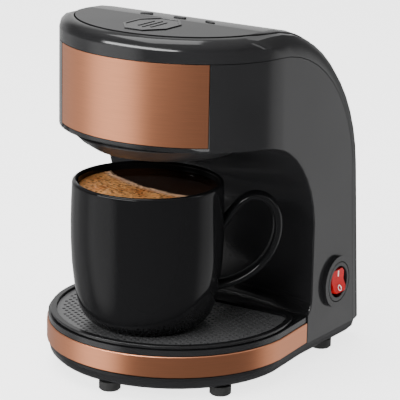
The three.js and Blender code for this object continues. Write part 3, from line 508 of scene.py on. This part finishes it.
class SizeSettings(bpy.types.PropertyGroup):
    bay_lip: length_property("Bay lip", 0.0024, "Rounding round the side openings")
    hole: length_property("Grid hole", 0.00108, "Radius of a hole in the grid")
    pitch: length_property("Grid pitch", 0.0037, "Distance between neighbouring holes")
    mug_wall: length_property("Mug wall", 0.0032, "Thickness of the mug at its rim")
    coffee_depth: length_property("Coffee below rim", 0.0044, "How far under the rim the coffee stands")
    handle_width: length_property("Handle width", 0.0048, "Half the width of the mug's handle")
    plaque: length_property("Plaque half width", 0.014, "Half the width of the plaque on the lid")


class StageSettings(bpy.types.PropertyGroup):
    azimuth: angle_property("Azimuth", 33.1, "Camera, round from the front")
    elevation: angle_property("Elevation", 15.57, "Camera, above level")
    roll: angle_property("Roll", 1.12, "Camera, tilt about its own axis")
    distance: length_property("Distance", 1.17775, "From the camera to the point it looks at")
    aim: bpy.props.FloatVectorProperty(
        name="Aim", default=(0.01124, -0.00787, 0.09213), subtype="XYZ",
        description="Point that the camera looks at",
    )
    lens: number_property("Focal length", 192.88, "Focal length in millimetres")
    daylight: number_property("Daylight", 1.0, "Strength of the room and its white cards")
    floor_glow: number_property("Floor glow", 2.6, "Light that the white floor gives off by itself")
    lamps: number_property("Lamps", 1.0, "Strength of all softboxes together")


def settings(group):
    return getattr(bpy.context.scene, "coffee_" + group)


class CoffeeOperator(bpy.types.Operator):
    bl_options = {"REGISTER", "UNDO"}

    def execute(self, context):
        self.make(context)
        deselect()
        return {"FINISHED"}


# ---- Stage ---------------------------------------------------------------------------------------


def softbox(name, place, aim, size, power):
    deselect()
    bpy.ops.object.light_add(type="AREA", location=place)
    lamp = bpy.context.active_object
    lamp.name = name
    lamp.data.shape = "RECTANGLE"
    lamp.data.size, lamp.data.size_y = size
    lamp.data.energy = power * settings("stage").lamps
    lamp.rotation_euler = (Vector(place) - Vector(aim)).to_track_quat("Z", "Y").to_euler()


def compass(azimuth, elevation):
    """Unit vector, from an azimuth round from the front to the switch side and an elevation."""
    return (
        math.sin(azimuth) * math.cos(elevation),
        -math.cos(azimuth) * math.cos(elevation),
        math.sin(elevation),
    )


# White cards round the studio: azimuth, elevation and spread in degrees, and brightness.
CARDS = (
    (-39, -14, 30, 1.5),
    (-80, -12, 24, 0.42),
    (-122, -8, 36, 0.36),
    (147, -14, 34, 0.7),
    (-147, 14, 36, 0.5),
    (0, 90, 70, 0.6),
)
CARD_CORE = 0.35  # share of a card's spread that is fully bright
ROOM_LIGHT = 0.2  # even light between the cards

# Softboxes: name, place, point they face, width and height in metres, power in watts.
LAMPS = (
    ("lamp_over", (-0.3, -0.2, 1.5), (0, 0, 0.1), (1.3, 0.9), 17),
    ("lamp_front", (-0.35, -1.3, 0.72), (0, -0.04, 0.1), (1.7, 0.2), 24),
    ("lamp_right", (1.3, 0.7, 0.9), (0, 0, 0.1), (0.3, 1.0), 2),
)
FLOOR_WIDTH = 14
SENSOR_WIDTH = 36


def surroundings(context, strength):
    """A dim even room with soft white cards placed round it."""
    world = bpy.data.worlds.new("studio")
    context.scene.world = world
    world.use_nodes = True
    tree = world.node_tree
    direction = tree.nodes.new("ShaderNodeTexCoord").outputs["Generated"]
    total = None
    for azimuth, elevation, spread, brightness in CARDS:
        facing = tree.nodes.new("ShaderNodeVectorMath")
        facing.operation = "DOT_PRODUCT"
        facing.inputs[1].default_value = compass(math.radians(azimuth), math.radians(elevation))
        tree.links.new(direction, facing.inputs[0])
        card = tree.nodes.new("ShaderNodeMapRange")
        card.interpolation_type = "SMOOTHSTEP"
        card.inputs["From Min"].default_value = math.cos(math.radians(spread))
        card.inputs["From Max"].default_value = math.cos(math.radians(spread * CARD_CORE))
        card.inputs["To Max"].default_value = brightness * strength
        tree.links.new(facing.outputs["Value"], card.inputs["Value"])
        adding = tree.nodes.new("ShaderNodeMath")
        adding.inputs[1].default_value = ROOM_LIGHT * strength
        tree.links.new(card.outputs["Result"], adding.inputs[0])
        if total:
            tree.links.new(total, adding.inputs[1])
        total = adding.outputs["Value"]
    tree.links.new(total, tree.nodes["Background"].inputs["Strength"])
    tree.nodes["Background"].inputs["Color"].default_value = (1, 1, 1, 1)


class MakeStage(CoffeeOperator):
    """Floor, even surroundings, softboxes and the camera"""

    bl_idname = PREFIX + "stage"
    bl_label = "Stage"

    def make(self, context):
        stage = settings("stage")
        self.floor(stage)
        surroundings(context, stage.daylight)
        for lamp in LAMPS:
            softbox(*lamp)
        self.camera(context, stage)

    def floor(self, stage):
        deselect()
        bpy.ops.mesh.primitive_plane_add(size=FLOOR_WIDTH, location=(0, 0, 0))
        floor = named(bpy.context.active_object, "studio_floor")
        finish = Nodes("studio_white")
        finish.colour(
            finish.ramp(finish.noise(3.0), (0.3, (0.86, 0.86, 0.86)), (0.7, (0.9, 0.9, 0.9))),
        )
        finish.set(Roughness=0.7, Emission_Color=(1, 1, 1, 1), Emission_Strength=stage.floor_glow)
        floor.data.materials.append(finish.material)
        floor.visible_glossy = False

    def camera(self, context, stage):
        back = Vector(compass(stage.azimuth, stage.elevation))
        right = Vector((math.cos(stage.azimuth), math.sin(stage.azimuth), 0))
        up = back.cross(right)
        tilt = Matrix.Rotation(stage.roll, 3, back)
        turn = Matrix((tilt @ right, tilt @ up, back)).transposed()
        deselect()
        bpy.ops.object.camera_add()
        camera = bpy.context.active_object
        camera.name = "camera"
        camera.data.lens = stage.lens
        camera.data.sensor_width = SENSOR_WIDTH
        camera.data.clip_start = 0.05
        place = Vector(stage.aim) + back * stage.distance
        camera.matrix_world = Matrix.Translation(place) @ turn.to_4x4()
        context.scene.camera = camera


# ---- Casing --------------------------------------------------------------------------------------


SIDE_SLACK = 0.05 * MM  # how far an edge may lie from the casing's side
BAY_DEPTH = 12 * MM  # how far behind the tray the side openings' edges may lie


class MakeCasing(CoffeeOperator):
    """Front housing, rear shell and bottom cover"""

    bl_idname = PREFIX + "casing"
    bl_label = "Casing"

    def make(self, context):
        side = high("outer_shell").x
        bottom = high("drip_grid").z - 0.5 * MM
        top = low("front_panel").z - MM
        rear = high("drip_tray").y + BAY_DEPTH

        def round_bay(point):
            on_side = abs(abs(point.x) - side) < SIDE_SLACK
            return on_side and bottom < point.z < top and point.y < rear

        housing = refined("main_housing", "front_housing")
        pick_edges(housing, round_bay)
        bpy.ops.mesh.bevel(
            offset=settings("sizes").bay_lip, segments=4, affect="EDGES", clamp_overlap=True,
        )
        done()
        complete(housing, "machine", FINISHES["black_gloss"])
        shell = refined("outer_shell", "rear_shell")
        complete(shell, "machine", FINISHES["black_gloss"])
        cover = refined("bottom_cover", "bottom_dish")
        complete(cover, "machine", FINISHES["cover"])


class MakeBands(CoffeeOperator):
    """Copper-coloured panel on the head and band round the base"""

    bl_idname = PREFIX + "bands"
    bl_label = "Copper bands"

    def make(self, context):
        for node, name in (("front_panel", "copper_panel"), ("base_trim", "copper_band")):
            band = refined(node, name, 0.6 * MM)
            complete(band, "machine", FINISHES["copper"])


# ---- Lid -----------------------------------------------------------------------------------------

# Vents: across and back from the lid's front edge in millimetres, and turn in radians.
VENTS = ((-21, 50.5, 0.5), (0, 51.5, 0), (20, 50.5, -0.5))
VENT_SIZE = (7 * MM, 2.4 * MM, 0.8 * MM)
VENT_SUNK = 0.2 * MM  # from the lid's top down to a vent's middle
PLAQUE_BACK = 25.5 * MM  # from the lid's front edge to the plaque's middle
PLAQUE_HEIGHT = 0.5 * MM
PLAQUE_CORNER = 1.06  # from its middle to a corner, against its half width
PLAQUE_STRETCH = 1.28  # front to back, against its width
PLAQUE_RIM = 1.3 * MM
PLAQUE_DEPTH = 0.35 * MM
RIB_GAP = 4 * MM  # from one rib's middle to the next
RIB_WIDTH = 1.2 * MM
RIB_MIDDLE = 0.2 * MM  # over the lid's top
RIB_LENGTH = 1.3  # of the middle rib, against the plaque's half width
RIB_SHORTER = 0.25  # how much less the other two are


class MakeLid(CoffeeOperator):
    """Lid with its eight-sided plaque and three small vents"""

    bl_idname = PREFIX + "lid"
    bl_label = "Lid"

    def make(self, context):
        lid = refined("lid", "tank_lid")
        complete(lid, "lid", FINISHES["lid"])
        front, top = low("lid").y, high("lid").z
        self.plaque(settings("sizes").plaque, (0, front + PLAQUE_BACK, top))
        for across, back, turn in VENTS:
            vent = slab("lid_vent", VENT_SIZE, 0.35 * MM)
            placed(vent, (across * MM, front + back * MM, top - VENT_SUNK), (0, 0, turn))
            complete(vent, "lid", FINISHES["black_matt"])

    def plaque(self, half_width, place):
        corner = half_width * PLAQUE_CORNER
        plate = turned("lid_plaque", [(corner, 0), (corner, PLAQUE_HEIGHT)], 8)
        edit(plate)
        bpy.ops.mesh.select_mode(type="FACE")
        bpy.ops.mesh.select_all(action="DESELECT")
        done()
        for face in plate.data.polygons:
            face.select = face.normal.z > 0.9
        bpy.ops.object.mode_set(mode="EDIT")
        bpy.ops.mesh.inset(thickness=PLAQUE_RIM)
        bpy.ops.mesh.extrude_region_move(TRANSFORM_OT_translate={"value": (0, 0, -PLAQUE_DEPTH)})
        done()
        placed(plate, (0, 0, 0), (0, 0, math.radians(22.5)))
        plate.scale = (1, PLAQUE_STRETCH, 1)
        placed(plate, place)
        soften(plate, 0.15 * MM, 2)
        complete(plate, "lid", FINISHES["black_gloss"])
        for step in (-1, 0, 1):
            length = half_width * (RIB_LENGTH - RIB_SHORTER * abs(step))
            rib = slab("lid_plaque_rib", (RIB_WIDTH, length, PLAQUE_HEIGHT), 0.2 * MM)
            placed(rib, (place[0] + step * RIB_GAP, place[1], place[2] + RIB_MIDDLE))
            complete(rib, "lid", FINISHES["black_gloss"])


# ---- Tray, grid and bowl -------------------------------------------------------------------------

GRID_MARGIN = 3.2 * MM  # without holes, along the grid's edge
HOLE_SIDES = 8
PUNCH_LENGTH = 6 * MM
FIRST_ROW = 2 * MM  # behind the grid's front edge


class MakeTray(CoffeeOperator):
    """Drip tray with its raised rim, and the grid with its many small holes"""

    bl_idname = PREFIX + "tray"
    bl_label = "Drip tray and grid"

    def make(self, context):
        tray = refined("drip_tray", "tray_rim", 0.7 * MM, 50)
        complete(tray, "tray", FINISHES["black_gloss"])
        self.grid(settings("sizes"))

    def grid(self, sizes):
        lowest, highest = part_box("drip_grid")
        radius = highest.x
        centre_y = lowest.y + radius
        plate = turned("grid_plate", [(radius, 0), (radius, highest.z - lowest.z)], 128)
        placed(plate, (0, centre_y, lowest.z))
        edit(plate)
        bpy.ops.mesh.select_all(action="SELECT")
        bpy.ops.mesh.bisect(
            plane_co=(0, highest.y, 0), plane_no=(0, 1, 0), use_fill=True, clear_outer=True,
        )
        done()
        punch = self.punches(sizes, lowest, highest)
        self.trim(punch, lowest, highest)
        modifier(plate, "BOOLEAN", operation="DIFFERENCE", object=punch, solver="EXACT")
        bpy.data.objects.remove(punch)
        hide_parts("drip_grid")
        complete(plate, "tray", FINISHES["grid_grey"], 30)

    def punches(self, sizes, lowest, highest):
        """Pins in staggered rows over the whole grid, one for each hole."""
        radius = highest.x
        across, slant = sizes.pitch * math.cos(math.radians(30)), sizes.pitch / 2
        columns = int(2 * radius / across)
        rows = int((highest.y - lowest.y + columns * slant) / sizes.pitch)
        first = (-radius + across, lowest.y + FIRST_ROW - columns * slant, highest.z)
        deselect()
        bpy.ops.mesh.primitive_cylinder_add(
            vertices=HOLE_SIDES, radius=sizes.hole, depth=PUNCH_LENGTH, location=first,
        )
        punch = named(bpy.context.active_object, "punch")
        settle(punch)
        for count, step in ((columns, (across, slant, 0)), (rows, (0, sizes.pitch, 0))):
            modifier(
                punch, "ARRAY", count=count, use_relative_offset=False, use_constant_offset=True,
                constant_offset_displace=step,
            )
        return punch

    def trim(self, punch, lowest, highest):
        """Removes the pins that stand outside the grid or on its plain edge."""
        centre_y = lowest.y + highest.x
        reach = highest.x - GRID_MARGIN
        front, back = lowest.y + GRID_MARGIN, highest.y - GRID_MARGIN
        edit(punch)
        bpy.ops.mesh.select_all(action="DESELECT")
        done()
        outside = set()
        for face in punch.data.polygons:
            if len(face.vertices) == HOLE_SIDES:
                far = Vector((face.center.x, face.center.y - centre_y)).length > reach
                if far or face.center.y > back or face.center.y < front:
                    outside.update(face.vertices)
        for point in punch.data.vertices:
            point.select = point.index in outside
        bpy.ops.object.mode_set(mode="EDIT")
        bpy.ops.mesh.select_mode(type="VERT")
        bpy.ops.mesh.delete(type="VERT")
        done()


class MakeBowl(CoffeeOperator):
    """Brewing chamber with the shallow bowl that shows under the head"""

    bl_idname = PREFIX + "bowl"
    bl_label = "Brewing chamber"

    def make(self, context):
        bowl = refined("brew_chamber", "brew_bowl", 0.8 * MM, 20)
        complete(bowl, "machine", FINISHES["bowl"], 40)


# ---- Switch --------------------------------------------------------------------------------------

REST_TILT = math.radians(-9)  # of the rocker, as it rests
MARK_LEAN = math.atan2(1.6, 7.8)  # slope of each half of its face
MARK_HEIGHT = 4.2 * MM  # of each mark's middle above or below the pivot
BAR_SIZE = (0.5 * MM, 0.7 * MM, 3.4 * MM)
BAR_PROUD = 3.85 * MM  # from the pivot out to the bar
RING_PROUD = 3.75 * MM
RING_RADIUS = 1.5 * MM
RING_LINE = 0.3 * MM  # radius of the ring's own section


class MakeSwitch(CoffeeOperator):
    """Round rocker switch with its two marks"""

    bl_idname = PREFIX + "switch"
    bl_label = "Switch"

    def make(self, context):
        body = refined("switch_body", "switch_bezel", 0.5 * MM, 50)
        complete(body, "machine", FINISHES["black_gloss"])
        rocker = refined("switch_rocker", "red_rocker", 0.6 * MM, 30)
        complete(rocker, "rocker", FINISHES["switch_red"])
        paint = plain("switch_mark", (0.75, 0.7, 0.68), 0.4, 900.0, 0.05)
        joint = next(row for row in frame["joints"] if row["name"] == "switch_tilt")
        for mark in (self.bar(), self.ring()):
            placed(mark, Vector(joint["pos_m"]), (0, REST_TILT, 0))
            complete(mark, "rocker", paint)

    def bar(self):
        bar = slab("mark_on", BAR_SIZE, 0.1 * MM)
        return placed(bar, (BAR_PROUD, 0, MARK_HEIGHT), (0, MARK_LEAN, 0))

    def ring(self):
        deselect()
        bpy.ops.mesh.primitive_torus_add(
            major_radius=RING_RADIUS, minor_radius=RING_LINE, major_segments=32, minor_segments=8,
        )
        ring = named(bpy.context.active_object, "mark_off")
        return placed(ring, (RING_PROUD, 0, -MARK_HEIGHT), (0, math.pi / 2 - MARK_LEAN, 0))


# ---- Mug and coffee ------------------------------------------------------------------------------

# The mug's side from its foot up to the rim: radius and height over the foot, in millimetres.
MUG_SIDE = (
    (27.0, 0.0), (28.4, 0.2), (30.8, 1.6), (33.8, 4.4), (36.1, 8), (37.9, 13.2),
    (39.5, 22), (40.9, 34), (41.5, 46), (41.65, 57), (41.4, 68), (41.05, 76.5),
)
MUG_WIDEST = 41.65
MUG_RIM_RADIUS = 41.0
MUG_LEAST_HEIGHT = 60 * MM  # under which the drawn side doesn't fit
# Hollow under the foot, from its middle outwards, and the inside's floor, from its edge inwards.
MUG_FOOT = ((2, 1.6), (23, 1.6), (24.2, 1.2), (24.8, 0.2), (25.4, 0))
MUG_BASE = ((33, 8.6), (29, 6.4), (20, 5.6), (2, 5.5))
INSIDE_EXTRA = 0.4 * MM  # how much thicker the wall is below the rim
# The handle's middle line, from the top join down to the lower one: distance from the mug's axis
# and height over the table, in millimetres.
HANDLE_ROUTE = (
    (39.5, 83), (43.5, 90), (49.5, 98.5), (56.5, 102.6), (64.3, 101.2), (70.2, 93.6),
    (71, 82), (67.2, 70.2), (60, 61), (51, 55), (43.5, 52), (37.2, 50.5),
)
HANDLE_RADIUS = 2.7 * MM
HANDLE_TURN = math.radians(33)  # round the mug, from its right side towards the back
ROUND_SIDES = 128


def mug_rings(points):
    return [(radius * MM, MUG_FLOOR + height * MM) for radius, height in points]


class MakeMug(CoffeeOperator):
    """Black glazed mug with its ear-shaped handle"""

    bl_idname = PREFIX + "mug"
    bl_label = "Mug"

    def make(self, context):
        sizes = settings("sizes")
        if MUG_RIM - MUG_FLOOR < MUG_LEAST_HEIGHT:
            raise RuntimeError("the mug in the frame is lower than its drawn side")
        scale = MUG_RADIUS / (MUG_WIDEST * MM)
        outer = [(radius * MM * scale, MUG_FLOOR + height * MM) for radius, height in MUG_SIDE]
        lip = self.lip(MUG_RIM_RADIUS * MM * scale, sizes.mug_wall / 2)
        inner = [(radius - sizes.mug_wall - INSIDE_EXTRA, z) for radius, z in reversed(outer[5:-1])]
        rings = mug_rings(MUG_FOOT) + outer + lip + inner + mug_rings(MUG_BASE)
        cup = turned("mug_body", rings, ROUND_SIDES)
        placed(cup, MUG_AXIS)
        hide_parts("mug")
        complete(cup, "mug", FINISHES["glaze_black"], 60)
        self.handle(sizes)

    def lip(self, radius, half_wall):
        """The rim's half circle, from the outside over the top to the inside."""
        middle, level = radius - half_wall, MUG_RIM - half_wall
        turns = [math.radians(degrees) for degrees in range(0, 181, 30)]
        return [
            (middle + half_wall * math.cos(turn), level + half_wall * math.sin(turn)) for turn in turns
        ]

    def handle(self, sizes):
        deselect()
        bpy.ops.curve.primitive_nurbs_path_add(location=(0, 0, 0))
        curve = bpy.context.active_object
        curve.data.splines.clear()
        line = curve.data.splines.new("NURBS")
        line.points.add(len(HANDLE_ROUTE) - 1)
        for point, (reach, height) in zip(line.points, HANDLE_ROUTE):
            point.co = (reach * MM, 0, height * MM, 1)
        line.order_u = 4
        line.use_endpoint_u = True
        line.resolution_u = 8
        curve.data.bevel_depth = HANDLE_RADIUS
        curve.data.bevel_resolution = 8
        curve.data.use_fill_caps = True
        pick(curve)
        bpy.ops.object.convert(target="MESH")
        handle = named(bpy.context.active_object, "mug_handle")
        handle.scale = (1, sizes.handle_width / HANDLE_RADIUS, 1)
        settle(handle)
        edit(handle)
        bpy.ops.mesh.select_all(action="SELECT")
        bpy.ops.mesh.remove_doubles(threshold=1e-6)
        bpy.ops.mesh.normals_make_consistent(inside=False)
        done()
        placed(handle, MUG_AXIS, (0, 0, HANDLE_TURN))
        complete(handle, "mug", FINISHES["glaze_black"], 60)


COFFEE_GAP = 0.9 * MM  # from the rim's inside to the coffee's edge
COFFEE_DEPTH = 1.5 * MM  # of the modelled layer
MENISCUS = 0.35 * MM  # how far the edge climbs the mug


class MakeCoffee(CoffeeOperator):
    """Coffee in the mug, with crema over its front"""

    bl_idname = PREFIX + "coffee"
    bl_label = "Coffee"

    def make(self, context):
        sizes = settings("sizes")
        reach = MUG_RADIUS - sizes.mug_wall - COFFEE_GAP
        rings = [
            (2 * MM, -COFFEE_DEPTH), (reach - 0.6 * MM, -COFFEE_DEPTH), (reach, MENISCUS),
            (reach - 0.8 * MM, 0.08 * MM),
        ]
        rings += [(reach * tenths / 10, 0) for tenths in range(9, 0, -1)]
        coffee = turned("coffee", rings, ROUND_SIDES)
        placed(coffee, (MUG_AXIS.x, MUG_AXIS.y, MUG_RIM - sizes.coffee_depth))
        surface = coffee_surface("coffee_and_crema", settings("finishes"))
        complete(coffee, "mug", surface, 60)


# ---- Everything that keeps its frame shape --------------------------------------------------------


class DressFrame(CoffeeOperator):
    """Feet, filter and inner parts: refined copies where they show, finishes on the rest"""

    bl_idname = PREFIX + "frame_parts"
    bl_label = "Feet, filter and inner parts"

    def make(self, context):
        slots = {row["node"]: row["material_slot"] for row in frame["record"]["subparts"]}
        for node, part in frame["nodes"].items():
            dress(part, FINISHES[slots[node]])
        bodies = frame["record"]["behaviour"]["bodies"]
        body_of = {node: body for body, nodes in bodies.items() for node in nodes}
        shown = [node for node in slots if node.startswith(("foot_", "filter_", "cover_screw"))]
        shown += ["cord_gland", "spray_spout", "water_tank", "lid_pin_left", "lid_pin_right"]
        for node in shown:
            piece = refined(node, node + "_piece")
            complete(piece, body_of[node], FINISHES[slots[node]])


# ---- Panel and running ---------------------------------------------------------------------------


STEPS = (
    MakeStage, MakeCasing, MakeBands, MakeLid, MakeTray, MakeBowl, MakeSwitch, MakeMug, MakeCoffee,
    DressFrame,
)


class CoffeePanel(bpy.types.Panel):
    """Steps that build the coffee maker"""

    bl_label = "Drip coffee maker"
    bl_idname = "VIEW3D_PT_coffee"
    bl_space_type = "VIEW_3D"
    bl_region_type = "UI"
    bl_category = "Coffee"

    def draw(self, context):
        for group in ("finishes", "sizes", "stage"):
            box = self.layout.box()
            for name in settings(group).bl_rna.properties.keys():
                if name not in ("rna_type", "name"):
                    box.prop(settings(group), name)
        for step in STEPS:
            self.layout.operator(step.bl_idname)


GROUPS = {"finishes": FinishSettings, "sizes": SizeSettings, "stage": StageSettings}


def register():
    for group, kind in GROUPS.items():
        bpy.utils.register_class(kind)
        setattr(bpy.types.Scene, "coffee_" + group, bpy.props.PointerProperty(type=kind))
    for step in STEPS:
        bpy.utils.register_class(step)
    bpy.utils.register_class(CoffeePanel)


def unregister():
    bpy.utils.unregister_class(CoffeePanel)
    for step in reversed(STEPS):
        bpy.utils.unregister_class(step)
    for group, kind in GROUPS.items():
        delattr(bpy.types.Scene, "coffee_" + group)
        bpy.utils.unregister_class(kind)


def main():
    register()
    make_finishes(settings("finishes"))
    for step in STEPS:
        getattr(bpy.ops.coffee, step.bl_idname.split(".")[1])()


if __name__ == "__main__":
    main()
